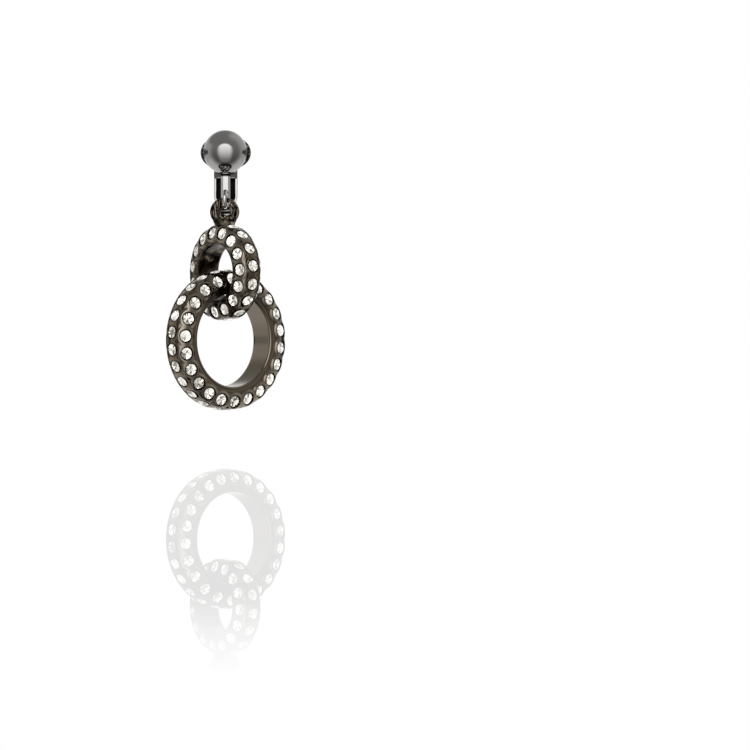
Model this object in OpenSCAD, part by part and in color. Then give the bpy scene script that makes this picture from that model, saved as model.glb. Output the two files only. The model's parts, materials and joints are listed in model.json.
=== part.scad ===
// Clip-on drop earring: a polished ball on a hinged ear clip, with a small
// stone-set ring hung from it and a large one linked through the small one.
// Millimetres. The origin is where the clip pinches the ear lobe, level with
// the middle of the ball. +Z is up, -Y is the front of the earring.

/* [Ball] */
// Diameter of the ball
ball_d = 8; // [6:0.5:10]
// Diameter of the peg that the ball is glued on
peg_d = 1.2; // [0.8:0.1:1.6]
// How far the peg reaches into the ball
peg_len = 2.2; // [1.5:0.1:2.8]

/* [Front strap] */
// Width of the strap
strap_w = 1.75; // [1.4:0.05:2]
// Thickness of the strap
strap_t = 0.75; // [0.6:0.05:0.9]
// Height of the strap's top end above the middle of the ball
strap_top = 1.8; // [1.2:0.1:2.6]
// Width of the bevel along each front edge of the strap
strap_bevel = 0.4; // [0.2:0.05:0.5]
// Radius inside the bend at the strap's foot
strap_bend_r = 1; // [0.9:0.05:1.2]

/* [Loop] */
// Depth of the loop's centre below the middle of the ball
loop_drop = 8.6; // [8.4:0.1:9]
// Diameter of the loop's wire
loop_wire = 0.82; // [0.6:0.02:0.9]
// Diameter of the hole in the loop
loop_hole = 1.96; // [1.9:0.02:2.2]

/* [Hinge] */
// Depth of the hinge pin below the middle of the ball
hinge_drop = 10.6; // [10.4:0.1:10.9]
// Diameter of the hinge pin
pin_d = 0.8; // [0.6:0.05:0.9]
// Diameter of the knuckle at the strap's foot
knuckle_d = 1.6; // [1.4:0.05:1.8]
// Width of the knuckle along the pin
knuckle_w = 2.1; // [1.8:0.05:2.2]
// Diameter of the pin's riveted heads
rivet_d = 1.3; // [1.1:0.05:1.5]
// Thickness of each riveted head
rivet_t = 0.2; // [0.1:0.05:0.3]

/* [Paddle] */
// Width of the oval pad
pad_w = 9.25; // [8:0.25:10]
// Height of the oval pad
pad_h = 6.75; // [6:0.25:7.5]
// Thickness of the pad
pad_t = 0.75; // [0.6:0.05:1]
// Gap between the strap and the closed pad
pad_gap = 0.3; // [0.2:0.05:0.5]
// Thickness of the sheet that the stem is folded from
sheet_t = 0.45; // [0.35:0.05:0.5]
// Width of the stem over its folded sides
stem_w = 4.3; // [4.2:0.1:4.8]
// Depth of the folded sides, front to back
side_depth = 1.7; // [1.6:0.05:1.9]
// Depth of the folded sides' top edge below the middle of the ball
side_top_drop = 4.66; // [4.4:0.1:5]
// Height over which the folded sides draw in to the knuckle
side_taper = 1.6; // [1:0.1:2]
// Thickness of the spring tongue
tongue_t = 0.2; // [0.15:0.05:0.25]

/* [Bail] */
// Diameter of the bail's round section
bail_section = 1.16; // [0.9:0.02:1.2]
// Diameter of the bail, measured along the middle of its section
bail_d = 4; // [3.6:0.1:4.4]
// How far the bail is turned from facing the front, in degrees
bail_turn = -10; // [-20:5:0]
// Width of the foot that joins the bail to the upper ring
bail_foot_w = 3.4; // [2.8:0.1:3.6]

/* [Stones] */
// Diameter of every stone
stone_d = 2.2; // [1.8:0.05:2.3]
// Sides of the cut around each stone
stone_sides = 10; // [8:1:12]
// Height of the crown, from the girdle to the table
crown_h = 0.3; // [0.2:0.05:0.4]
// Depth of the pavilion, from the girdle to the point
pavilion_h = 0.6; // [0.4:0.05:0.8]
// Wall of the collar around a stone, at its rim
collar_wall = 0.17; // [0.12:0.01:0.25]
// Height of the collars above the ring
collar_h = 0.2; // [0.1:0.05:0.3]
// How much wider a collar is at its root than at its rim, on each side
collar_flare = 0.15; // [0.05:0.05:0.2]
// Tilt of the face rows' stones, away from the ring's axis, in degrees
face_tilt = 18; // [8:1:20]

/* [Upper ring] */
// Radius of the upper ring's hole
upper_hole_r = 5.17; // [5.1:0.05:5.6]
// Outer radius of the upper ring, without the collars
upper_r = 8.82; // [8.6:0.05:9.4]
// Width of the upper ring along its axis
upper_w = 4.9; // [4.4:0.1:5.2]
// Radius that rounds the upper ring's outside
upper_round = 2.1; // [1.6:0.1:2.2]
// How far the upper ring is turned from facing the front, in degrees
upper_turn = -52.5; // [-60:0.5:-45]
// Stones in each face row of the upper ring
upper_face_count = 15; // [10:1:15]
// Stones around the rim of the upper ring, had the bail left room for all
upper_rim_count = 16; // [10:1:17]

/* [Lower ring] */
// Radius of the lower ring's hole
lower_hole_r = 8.55; // [8.3:0.05:9]
// Outer radius of the lower ring, without the collars
lower_r = 12.85; // [12.4:0.05:13.4]
// Width of the lower ring along its axis
lower_w = 5.3; // [4.8:0.1:5.6]
// Radius that rounds the lower ring's outside
lower_round = 2.2; // [1.6:0.1:2.4]
// How far the lower ring is turned from facing the front, in degrees
lower_turn = 39; // [30:0.5:45]
// Stones in each face row of the lower ring
lower_face_count = 22; // [16:1:23]
// Stones around the rim of the lower ring
lower_rim_count = 25; // [16:1:26]

/* [Hidden] */
$fn = 64;

// Clearances
peg_gap = 0.05;      // around the peg and behind the ball
pin_gap = 0.05;      // around the pin in the knuckle
rivet_gap = 0.03;    // under the pin's heads, and around it in the sides
knuckle_gap = 0.15;  // between the knuckle and each folded side
tongue_gap = 0.08;   // between the tongue's end and the knuckle
tongue_side_gap = 0.35;  // between the tongue and each folded side
bail_gap = 0.09;     // between the bail and the loop that carries it
link_gap = 0.1;      // between the two linked rings, where their edges meet
stone_gap = 0.05;    // around and under each stone in its seat

// How far joined shapes run into each other, and cutting shapes past them
solder_sink = 0.2;   // soldered joins
bail_sink = 0.3;     // the bail's foot in the ring
collar_root = 0.5;   // the collars in the rings
cut_over = 0.5;      // anything that cuts

// Colours
gunmetal = [0.30, 0.29, 0.28];
bronze_grey = [0.27, 0.25, 0.22];
bright_steel = [0.55, 0.55, 0.57];
dark_steel = [0.22, 0.22, 0.22];
crystal = [0.88, 0.89, 0.90];

// Shares of a size, chosen by eye
table_share = 0.58;      // the table's radius, of the stone's
pad_end_share = 0.77;    // the radius at the pad's ends, of half its height
foot_low_share = 0.33;   // half the bail foot's width on the ring, of its full width
foot_top_share = 0.42;   // half the bail foot's width at the bail, of its full width

// Heights and depths that follow from the sizes above
ball_y = -strap_t - peg_gap - ball_d / 2;
loop_r = (loop_hole + loop_wire) / 2;
loop_y = -strap_t - loop_r - loop_wire / 2 + solder_sink;
strap_bend_z = strap_t / 2 + strap_bend_r - hinge_drop;
pin_y = strap_bend_r;
knuckle_r = knuckle_d / 2;

pad_front = pad_gap;
pad_back = pad_front + pad_t;
pad_dome_r = 2 * pad_w;
stem_top_z = pad_h / 4;
side_front = pin_y - knuckle_r + pad_gap;
side_back = side_front + side_depth;
tongue_front = pin_y + knuckle_r / 2;
tongue_end_z = sqrt(pow(knuckle_r + tongue_gap, 2) - pow(tongue_front - pin_y, 2)) - hinge_drop;
ear_r = knuckle_r + sheet_t / 2;
side_out = stem_w / 2;
foot_out = knuckle_w / 2 + knuckle_gap + sheet_t;
taper_low_z = knuckle_r - hinge_drop;
taper_top_z = taper_low_z + side_taper;

bail_r = bail_d / 2;
bail_top_z = -loop_drop - (loop_hole / 2 - bail_section / 2 - bail_gap);
bail_z = bail_top_z - bail_r;
bail_out = bail_r + bail_section / 2;
upper_z = bail_z - bail_out - upper_r + bail_sink;

// The rings hang edge on edge, nearly square to each other. Each inner band is
// a cylinder, so the corners where they meet stand off from the middle by the
// two heights that are added here.
link_skew = abs(lower_turn - upper_turn - 90);
function corner_reach(half, other_half) = (half + other_half * sin(link_skew)) / cos(link_skew);
function band_drop(r, reach) = r - sqrt(r * r - reach * reach);
link_space = band_drop(upper_hole_r, corner_reach(lower_w / 2, upper_w / 2))
           + band_drop(lower_hole_r, corner_reach(upper_w / 2, lower_w / 2)) + link_gap;
lower_z = upper_z - upper_hole_r - lower_hole_r + link_space;

// Radius of the eased edges along each ring's inner band
inner_edge = 0.25;

seat_r = stone_d / 2 + stone_gap;
seat_depth = crown_h + pavilion_h + stone_gap;
collar_top_r = seat_r + collar_wall;
collar_foot_r = collar_top_r + collar_flare;

// Rows of stones on a ring. Columns: tilt of the stones away from the ring's
// axis, how many, and the angle of the first one.
TILT = 0;
COUNT = 1;
FIRST = 2;
upper_rows = [
    [face_tilt, upper_face_count, 123],
    [90, upper_rim_count, 75],
    [180 - face_tilt, upper_face_count, 111],
];
lower_rows = [
    [face_tilt, lower_face_count, 124],
    [90, lower_rim_count, 116],
    [180 - face_tilt, lower_face_count, 107],
];

// Puts its children in a ring's own frame: local Z is the ring's axis, which
// faces the front, and local Y stays upright.
module on_ring(z, turn) {
    translate([0, loop_y, z]) rotate([90, 0, turn]) children();
}

// Half a cross-section of a ring, for turning around its axis: a flat inner
// band with eased edges, flat faces and a rounded outside. The rounding may be
// more than half as deep as the ring, so all of it is cut off at the hole.
module ring_section(hole_r, r, w, round_r) {
    half = w / 2;
    intersection() {
        union() {
            translate([hole_r + inner_edge, -half]) square([r - round_r - hole_r - inner_edge, w]);
            translate([hole_r, inner_edge - half]) square([inner_edge * 2, w - 2 * inner_edge]);
            translate([r - round_r - inner_edge, round_r - half])
                square([round_r + inner_edge, w - 2 * round_r]);
            for (side = [-1, 1]) {
                translate([r - round_r, side * (half - round_r)]) circle(round_r);
                translate([hole_r + inner_edge, side * (half - inner_edge)]) circle(inner_edge);
            }
        }
        translate([hole_r, -half]) square([r - hole_r, w]);
    }
}

// Puts its children at each stone of one row, with local Z out of the ring
// and local Z = 0 on its surface. Stones under a bail's foot are left out.
module at_stones(row, r, w, round_r, bail_angle) {
    tilt = row[TILT];
    flat = w / 2 - round_r;
    side = tilt == 90 ? 0 : (tilt < 90 ? 1 : -1);
    out = r - round_r + round_r * sin(tilt);
    along = side * flat + round_r * cos(tilt);
    for (i = [0 : row[COUNT] - 1]) {
        turn = row[FIRST] + i * 360 / row[COUNT];
        from_top = abs((turn + 90) % 360 - 180);
        if (tilt != 90 || from_top > bail_angle)
            rotate([0, 0, turn]) translate([out, 0, along]) rotate([0, tilt, 0]) children();
    }
}

// A ring with raised collars and an open seat for each stone.
module set_ring(hole_r, r, w, round_r, rows, bail_angle) {
    difference() {
        union() {
            rotate_extrude($fn = 128) ring_section(hole_r, r, w, round_r);
            for (row = rows) at_stones(row, r, w, round_r, bail_angle)
                translate([0, 0, -collar_root])
                    cylinder(h = collar_root + collar_h, r1 = collar_foot_r, r2 = collar_top_r);
        }
        for (row = rows) at_stones(row, r, w, round_r, bail_angle)
            translate([0, 0, collar_h - seat_depth])
                cylinder(h = seat_depth + cut_over, r = seat_r);
    }
}

// One cut stone: a flat table, sloping crown facets and a pointed pavilion.
// Its table is level with the collar's rim, at local Z = collar_h.
module cut_stone() {
    n = stone_sides;
    r = stone_d / 2;
    top = collar_h;
    girdle = top - crown_h;
    points = concat(
        [for (i = [0 : n - 1]) [r * table_share * cos(i * 360 / n), r * table_share * sin(i * 360 / n), top]],
        [for (i = [0 : n - 1]) [r * cos(i * 360 / n), r * sin(i * 360 / n), girdle]],
        [[0, 0, girdle - pavilion_h]]);
    faces = concat(
        [[for (i = [0 : n - 1]) n - 1 - i]],
        [for (i = [0 : n - 1]) [i, (i + 1) % n, n + (i + 1) % n, n + i]],
        [for (i = [0 : n - 1]) [n + i, n + (i + 1) % n, 2 * n]]);
    polyhedron(points, faces);
}

module stones_on(r, w, round_r, rows, bail_angle) {
    for (row = rows) at_stones(row, r, w, round_r, bail_angle) cut_stone();
}

// Half the angle at the upper ring's middle that the bail's foot takes up.
bail_angle = asin((bail_foot_w / 2 + seat_r / 2) / (upper_r + collar_h));

module ball() {
    color(gunmetal) translate([0, ball_y, 0]) difference() {
        sphere(d = ball_d, $fn = 96);
        rotate([-90, 0, 0]) translate([0, 0, ball_d / 2 - peg_len])
            cylinder(h = peg_len + cut_over, d = peg_d + 2 * peg_gap);
    }
}

// The strap's cross-section, with its front edges bevelled.
module strap_section() {
    half = strap_w / 2;
    polygon([
        [-half, 0],
        [-half, strap_bevel - strap_t],
        [strap_bevel - half, -strap_t],
        [half - strap_bevel, -strap_t],
        [half, strap_bevel - strap_t],
        [half, 0],
    ]);
}

// A quarter turn of strap that leads back to the hinge pin.
module strap_foot() {
    translate([0, pin_y, strap_bend_z]) rotate([0, 90, 0]) translate([0, 0, -strap_w / 2])
        linear_extrude(strap_w) intersection() {
            difference() {
                circle(strap_bend_r + strap_t);
                circle(strap_bend_r);
            }
            translate([0, -strap_bend_r - strap_t]) square(strap_bend_r + strap_t);
        }
}

module front_strap() {
    color(bright_steel) {
        difference() {
            union() {
                translate([0, 0, strap_bend_z]) linear_extrude(strap_top - strap_bend_z) strap_section();
                strap_foot();
                translate([-knuckle_w / 2, pin_y, -hinge_drop]) rotate([0, 90, 0])
                    cylinder(h = knuckle_w, r = knuckle_r);
                translate([0, solder_sink - strap_t, 0]) rotate([90, 0, 0])
                    cylinder(h = peg_len + solder_sink - peg_gap, d = peg_d);
                translate([0, loop_y, -loop_drop]) rotate([0, 90, 0])
                    rotate_extrude() translate([loop_r, 0]) circle(d = loop_wire, $fn = 32);
            }
            translate([-knuckle_w / 2 - cut_over, pin_y, -hinge_drop]) rotate([0, 90, 0])
                cylinder(h = knuckle_w + 2 * cut_over, d = pin_d + 2 * pin_gap);
        }
    }
}

// An oval of four arcs, from its full width and height.
module oval(w, h) {
    end_r = pad_end_share * h / 2;
    reach = w / 2 - end_r;
    big_r = (reach * reach + pow(h / 2, 2) - end_r * end_r) / (h - 2 * end_r);
    join = reach * big_r / (big_r - end_r);
    for (side = [-1, 1]) translate([side * reach, 0]) circle(end_r);
    intersection() {
        translate([0, h / 2 - big_r]) circle(big_r, $fn = 128);
        translate([0, big_r - h / 2]) circle(big_r, $fn = 128);
        square([2 * join, h], center = true);
    }
}

// The stem seen from the front between two heights, smaller by an inset on
// both sides: straight, then drawn in towards the knuckle.
module stem_front(inset, top, low) {
    wide_half = side_out - inset;
    foot_half = foot_out - inset;
    intersection() {
        polygon([
            [-wide_half, top],
            [wide_half, top],
            [wide_half, taper_top_z],
            [foot_half, taper_low_z],
            [foot_half, -hinge_drop - 2 * ear_r],
            [-foot_half, -hinge_drop - 2 * ear_r],
            [-foot_half, taper_low_z],
            [-wide_half, taper_top_z],
        ]);
        translate([-stem_w, low]) square([2 * stem_w, top - low]);
    }
}

// Turns a drawing of X across and Z up into a solid between two depths.
module deep(front, back) {
    translate([0, back, 0]) rotate([90, 0, 0]) linear_extrude(back - front) children();
}

// Turns a drawing of the depth below the ball across, and Y up, into a solid
// of a given width.
module wide(w) {
    translate([-w / 2, 0, 0]) rotate([0, 90, 0]) linear_extrude(w) children();
}

// The folded sides of the stem, rounded around the pin.
module stem_sides() {
    intersection() {
        deep(pin_y - ear_r, side_back) difference() {
            stem_front(0, -side_top_drop, -hinge_drop - ear_r);
            stem_front(sheet_t, cut_over - side_top_drop, -hinge_drop - ear_r - cut_over);
        }
        wide(stem_w + 2 * cut_over) union() {
            translate([side_top_drop, side_front]) square([hinge_drop - side_top_drop, side_depth]);
            translate([hinge_drop, pin_y]) circle(ear_r);
        }
    }
}

module paddle() {
    side_slope = side_back - sheet_t - pad_back;
    color(dark_steel) difference() {
        union() {
            // The pad, slightly domed towards the ear
            intersection() {
                deep(pad_front, pad_back) oval(pad_w, pad_h);
                translate([0, pad_front + pad_dome_r, 0]) sphere(pad_dome_r, $fn = 128);
            }
            // The stem's sheet behind the pad, then stepped back to the channel's floor
            deep(pad_back - solder_sink, pad_back + sheet_t)
                stem_front(0, stem_top_z, -side_top_drop);
            wide(stem_w) polygon([
                [side_top_drop - sheet_t, pad_back - solder_sink],
                [side_top_drop, pad_back - solder_sink],
                [side_top_drop + side_slope, side_back - sheet_t],
                [side_top_drop + side_slope, side_back],
                [side_top_drop, side_back],
                [side_top_drop - sheet_t, pad_back + sheet_t],
            ]);
            deep(side_back - sheet_t, side_back) stem_front(0, -side_top_drop, taper_low_z);
            stem_sides();
            // The spring tongue, rooted in the step
            deep(tongue_front, tongue_front + tongue_t)
                stem_front(sheet_t + tongue_side_gap, -side_top_drop, tongue_end_z);
        }
        translate([-stem_w, pin_y, -hinge_drop]) rotate([0, 90, 0])
            cylinder(h = 2 * stem_w, d = pin_d + 2 * rivet_gap);
    }
}

module hinge_pin() {
    reach = foot_out + rivet_gap;
    color(bright_steel) translate([0, pin_y, -hinge_drop]) rotate([0, 90, 0]) {
        translate([0, 0, -reach - rivet_t / 2]) cylinder(h = 2 * reach + rivet_t, d = pin_d);
        for (side = [-1, 1]) translate([0, 0, side * (reach + rivet_t / 2) - rivet_t / 2])
            cylinder(h = rivet_t, d = rivet_d);
    }
}

// The round bail and its foot, cast in one with the upper ring.
module bail() {
    foot_low = upper_z + upper_r - bail_sink;
    foot_mid = bail_z - bail_out + 2 * bail_sink;
    foot_top = bail_z - bail_r;
    translate([0, loop_y, 0]) rotate([0, 0, bail_turn]) {
        translate([0, 0, bail_z]) rotate([90, 0, 0])
            rotate_extrude() translate([bail_r, 0]) circle(d = bail_section, $fn = 32);
        deep(-bail_section / 2, bail_section / 2) polygon([
            [-foot_low_share * bail_foot_w, foot_low],
            [foot_low_share * bail_foot_w, foot_low],
            [bail_foot_w / 2, foot_mid],
            [foot_top_share * bail_foot_w, foot_top],
            [-foot_top_share * bail_foot_w, foot_top],
            [-bail_foot_w / 2, foot_mid],
        ]);
    }
}

module upper_ring() {
    color(bronze_grey) {
        on_ring(upper_z, upper_turn)
            set_ring(upper_hole_r, upper_r, upper_w, upper_round, upper_rows, bail_angle);
        bail();
    }
}

module upper_stones() {
    color(crystal) on_ring(upper_z, upper_turn)
        stones_on(upper_r, upper_w, upper_round, upper_rows, bail_angle);
}

module lower_ring() {
    color(bronze_grey) on_ring(lower_z, lower_turn)
        set_ring(lower_hole_r, lower_r, lower_w, lower_round, lower_rows, 0);
}

module lower_stones() {
    color(crystal) on_ring(lower_z, lower_turn)
        stones_on(lower_r, lower_w, lower_round, lower_rows, 0);
}

ball();
front_strap();
paddle();
hinge_pin();
upper_ring();
upper_stones();
lower_ring();
lower_stones();
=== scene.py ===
"""The looks of a clip-on drop earring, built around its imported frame.

A polished ball hides the front of an ear clip. A small cast ring hangs from the
clip's loop, and a large one is linked through it. Both are plated a warm
gunmetal and set with clear foiled stones in raised seats.
"""

import json
import math
import random

import bmesh
import bpy
import numpy as np
from mathutils import Matrix, Vector, noise


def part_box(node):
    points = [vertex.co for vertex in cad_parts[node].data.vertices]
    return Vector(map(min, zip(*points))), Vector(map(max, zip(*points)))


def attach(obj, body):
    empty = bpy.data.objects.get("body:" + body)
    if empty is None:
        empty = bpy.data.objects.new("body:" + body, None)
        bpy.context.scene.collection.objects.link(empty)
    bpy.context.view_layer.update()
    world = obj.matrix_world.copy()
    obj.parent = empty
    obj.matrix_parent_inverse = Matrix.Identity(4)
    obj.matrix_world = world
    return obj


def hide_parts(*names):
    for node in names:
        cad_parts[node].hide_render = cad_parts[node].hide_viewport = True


MM = 0.001

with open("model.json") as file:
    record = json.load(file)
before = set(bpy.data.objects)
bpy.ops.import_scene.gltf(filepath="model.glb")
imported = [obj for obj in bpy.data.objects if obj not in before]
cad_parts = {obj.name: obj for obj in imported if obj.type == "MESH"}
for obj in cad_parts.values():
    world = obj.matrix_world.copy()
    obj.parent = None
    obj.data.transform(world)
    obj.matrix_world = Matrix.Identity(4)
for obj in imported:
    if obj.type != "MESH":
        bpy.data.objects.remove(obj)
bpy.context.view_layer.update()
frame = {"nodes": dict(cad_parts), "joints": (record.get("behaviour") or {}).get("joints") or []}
nodes = frame["nodes"]
joints = {joint["name"]: joint for joint in frame["joints"]}

# Places that the frame gives, in metres
ball_low, ball_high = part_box("ball")
ball_centre = (ball_low + ball_high) / 2
ball_radius = (ball_high.z - ball_low.z) / 2
loop_centre = Vector(joints["drop_swing"]["pos_m"])
upper_centre = Vector(joints["hoop_swing"]["pos_m"])
upper_axis = Vector(joints["hoop_swing"]["axis"])

# Stones and their seats, in millimetres
STONE_RADIUS = 1.03
TABLE_SHARE = 0.56
CROWN = 0.27
GIRDLE = 0.03
PAVILION = 0.5
FACET_SIDES = 8
GIRDLE_LEVEL = -0.22
# Where the small facets meet: how far out, of the radius, and how far up or down
STAR_SHARE = 0.7663
STAR_LEVEL = 0.5
LOWER_SHARE = 0.42
LOWER_LEVEL = 0.62
# How far a stone leans in its seat, how bright its foil and painted glow are, and the
# tones of its facets, dark and bright, which are painted reflections
STONE_LEAN = 0.05
STONE_BRIGHTNESS = (0.7, 1.0)
FACET_REFLECTION_TONES = (0.0, 0.2, 0.7, 0.95, 1.0, 1.0, 1.0)
# The seat: how it grips the girdle, its floor below the stone, its rim, its open top
SEAT_GRIP = 0.02
SEAT_FLOOR = 0.1
SEAT_FLOOR_SHARE = 0.8
SEAT_SHOULDER = 0.1
SEAT_RIM = 0.3
SEAT_RIM_RADIUS = 1.27
SEAT_BEVEL = 0.05
SEAT_FLARE = 0.14
SEAT_TOP = 0.8
SEAT_SIDES = 40
# What is inside a seat, where shade is painted: this much within its rim, this far up or down
SEAT_SLACK = 0.01
SEAT_REACH = 1.0
BOSS_TOP_RADIUS = 1.34
BOSS_FOOT_RADIUS = 1.8
BOSS_STRETCH = 0.84  # along its row a boss runs on into the next one
NO_WEIGHT = 1e-9  # stands for none where a weight divides
# Height of a boss, how far its face bends away with the ring for each mm squared,
# and how strongly a painted highlight lightens it
FACE_BOSS = (0.07, 0.13, 1)
LOW_BOSS = (-0.03, 0.2, 0.25)  # on the rim and at the back
FRONT_LEAST = 0.1  # how much of its direction a front stone has towards the front
FACE_TILT = 18
# The plain metal between the bosses: how far it lies below the ring's full size
FACE_SINK = 0.08
RIM_SINK = 0.05
# The valley between the rows: its tilt from the rim, its spread, its depth
VALLEY = (16, 8, 0.1)
# Half the angle over which each rounded corner is flattened
CORNER_FLAT = 21
# Shallow grooves around each face: how far from the hole's edge, width, depth
GROOVES = ((0.4, 0.12, 0.07), (0.8, 0.06, 0.018), (0.98, 0.05, 0.012))
INNER_EDGE = 0.32
LINK_GAP = 0.1
# Points along each stretch of a ring's section
HOLE_STEPS = 10
EDGE_STEPS = 4
FACE_STEPS = 40
CORNER_STEPS = 24
RIM_STEPS = 8
# The angle between faces, in degrees, from which an edge looks sharp
SHARP_FROM = 38

# The two rings, in millimetres. Round: the rounding that the stones lie on. Corner:
# the casting's own. Turn: about the vertical. Rows: tilt of the stones away from the
# ring's axis, how many, the angle of the first one. Drift: how far the front row's
# stones have slipped round, in degrees, and where the most. Around: points around
# the ring. Then: how much shade is painted in the ring's hole, how far the plating is
# darkened all over, and how much highlight is painted in the hole. Seed: for the ways
# that its stones are spun and their painted reflections fall.
UPPER = {
    "hole": 5.17,
    "radius": 8.82,
    "width": 4.9,
    "round": 2.1,
    "corner": 1.4,
    "turn": math.degrees(math.atan2(upper_axis.x, -upper_axis.y)),
    "rows": [(FACE_TILT, 15, 123), (90, 16, 75), (180 - FACE_TILT, 15, 111)],
    "drift": (0, 180),
    "around": 420,
    # Painted shade in the hole, a darkening all over, and painted highlight in the hole
    "hole_painted_shade": 0.62,
    "dark_all": 0.14,
    "hole_painted_highlight": 0,
    "seed": 11,
}
LOWER = {
    "hole": 8.55,
    "radius": 12.85,
    "width": 5.3,
    "round": 2.2,
    "corner": 1.6,
    "turn": 40,
    "rows": [(FACE_TILT, 22, 124), (90, 25, 116), (180 - FACE_TILT, 22, 107)],
    "drift": (3.2, 172),
    "around": 560,
    # Painted shade in the hole, a darkening all over, and painted highlight in the hole
    "hole_painted_shade": 0,
    "dark_all": 0,
    "hole_painted_highlight": 0.45,
    "seed": 23,
}


def corner_drop(ring, other):
    """How far a ring's inner band falls away where a corner of the other band meets it."""
    skew = math.radians(LOWER["turn"] - UPPER["turn"] - 90)
    reach = (other["width"] / 2 + ring["width"] / 2 * math.sin(abs(skew))) / math.cos(skew)
    return ring["hole"] - math.sqrt(ring["hole"] ** 2 - reach**2)


link_space = corner_drop(UPPER, LOWER) + corner_drop(LOWER, UPPER) + LINK_GAP
lower_drop = UPPER["hole"] + LOWER["hole"] - link_space
lower_centre = upper_centre - Vector((0, 0, lower_drop * MM))
link_place = upper_centre - Vector((0, 0, UPPER["hole"] * MM))

# How much shade is painted on the plating where the rings link, over what reach, on
# the bail and in the valleys, and how far its marks are drawn out
LINK_PAINTED_SHADE = 1.0
LINK_REACH = 10.5
BAIL_PAINTED_SHADE = 0.78
STREAK_SCALE = (5.5, 0.6, 5.5)
VALLEY_PAINTED_SHADE = 0.75
VALLEY_SPREAD = 1.5
HIGHLIGHT_CLEARS = 0.7  # how much of a valley's painted shade a boss's painted highlight takes away
BLOTCH_SCALE = 0.9
# How strongly the blotches of painted shade in a hole and the streaks of painted shade
# on the bail vary, and the least and the most of them
BLOTCH = (2.2, 0.3, 1.45)
STREAK = (3, 0, 1.45)
# Painted highlight in streaks on the bail: how strongly it follows the noise, and how much is taken
# off before it shows
HIGHLIGHT_STREAK = 2.5
HIGHLIGHT_FROM = 0.2
HOLE_EDGE_SHARE = 0.7

# The bail on top of the small ring, in millimetres. Ovals: middle across and up,
# half width, half height.
BAIL_TURN = -10
BAIL_OUTLINE = (-0.14, 0.0, 2.72, 2.6)
BAIL_HOLE = (0.3, 0.24, 1.03, 0.84)
BAIL_DEPTH = 0.6
BAIL_TOP_DEPTH = 0.54
BAIL_DROP = 2.31
BAIL_FULLNESS = 0.75  # below 1 its section is squarer than an oval
BAIL_AROUND = 144
BAIL_SECTION = 72
# Where its streaks of painted shade and painted highlight begin above the small ring,
# and over what height
BAIL_START = 0.2
BAIL_FADE = 0.5
bail_centre = loop_centre - Vector((0, 0, BAIL_DROP * MM))
# The notch at the top of its hole that the loop's wire lies in, and its flutes
NOTCH_ANGLE = 104
NOTCH_REACH = 38
NOTCH_EASE = 15
NOTCH_DEPTH = 0.58
THIN_REACH = 50
FLUTES = 5
FLUTE_DEPTH = 0.06
FLUTE_WANDER = 0.9
WANDER_SCALE = 1.7
# The bail's foot on the ring: radius and height of each step, how flat it is from
# front to back, and its place
FOOT_PROFILE = [
    (0, -1.1),
    (1.7, -1.1),
    (1.8, -0.7),
    (1.95, -0.2),
    (2.2, 0.3),
    (1.6, 0.75),
    (0, 0.85),
]
FOOT_FLATNESS = 0.42
FOOT_SIDES = 48
FOOT_SHIFT = -0.14
FOOT_DROP = 1.95
# The room that the foot and a seat's collar take from the rim's row of stones
FOOT_WIDTH = 3.4
SEAT_WIDTH = 1.15
COLLAR = 0.2


# Node helpers


def shader_tree(name):
    """A new node material, and its nodes, links and Principled BSDF."""
    material = bpy.data.materials.new(name)
    material.use_nodes = True
    tree = material.node_tree
    return material, tree, tree.nodes["Principled BSDF"]


def add(tree, kind, **settings):
    node = tree.nodes.new(kind)
    for key, value in settings.items():
        setattr(node, key, value)
    return node


def new_group(name, inputs, outputs):
    """A shader node group. Inputs: name, kind, default. Outputs: name, kind."""
    group = bpy.data.node_groups.new(name, "ShaderNodeTree")
    for label, kind, default in inputs:
        socket = group.interface.new_socket(label, in_out="INPUT", socket_type=kind)
        socket.default_value = default
    for label, kind in outputs:
        group.interface.new_socket(label, in_out="OUTPUT", socket_type=kind)
    return group, group.nodes.new("NodeGroupInput"), group.nodes.new("NodeGroupOutput")


def place(tree, group, **values):
    """One use of a group in a material, with its own values."""
    node = add(tree, "ShaderNodeGroup", node_tree=group)
    for label, value in values.items():
        node.inputs[label.replace("_", " ")].default_value = value
    return node


def bump(tree, height_socket, bsdf, distance):
    node = add(tree, "ShaderNodeBump")
    node.inputs["Distance"].default_value = distance
    tree.links.new(height_socket, node.inputs["Height"])
    tree.links.new(node.outputs["Normal"], bsdf.inputs["Normal"])


def clouds(group, scale, detail, span):
    """Cloudy noise over the piece, with a span of its values spread out."""
    coord = add(group, "ShaderNodeTexCoord")
    cloud = add(group, "ShaderNodeTexNoise")
    cloud.inputs["Detail"].default_value = detail
    group.links.new(coord.outputs["Object"], cloud.inputs["Vector"])
    group.links.new(scale, cloud.inputs["Scale"])
    spread = add(group, "ShaderNodeMapRange")
    spread.inputs["From Min"].default_value = span[0]
    spread.inputs["From Max"].default_value = span[1]
    group.links.new(cloud.outputs["Fac"], spread.inputs["Value"])
    return spread


# The span of the noise that is spread out, and its detail
BUFFING_SPAN = (0.35, 0.7)
BUFFING_DETAIL = 3.0
PLATING_SPAN = (0.35, 0.65)
PLATING_DETAIL = 4.0
HAIRLINE_DETAIL = 2.0
HAIRLINE_STRETCH = (1.0, 1.0, 0.08)


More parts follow.
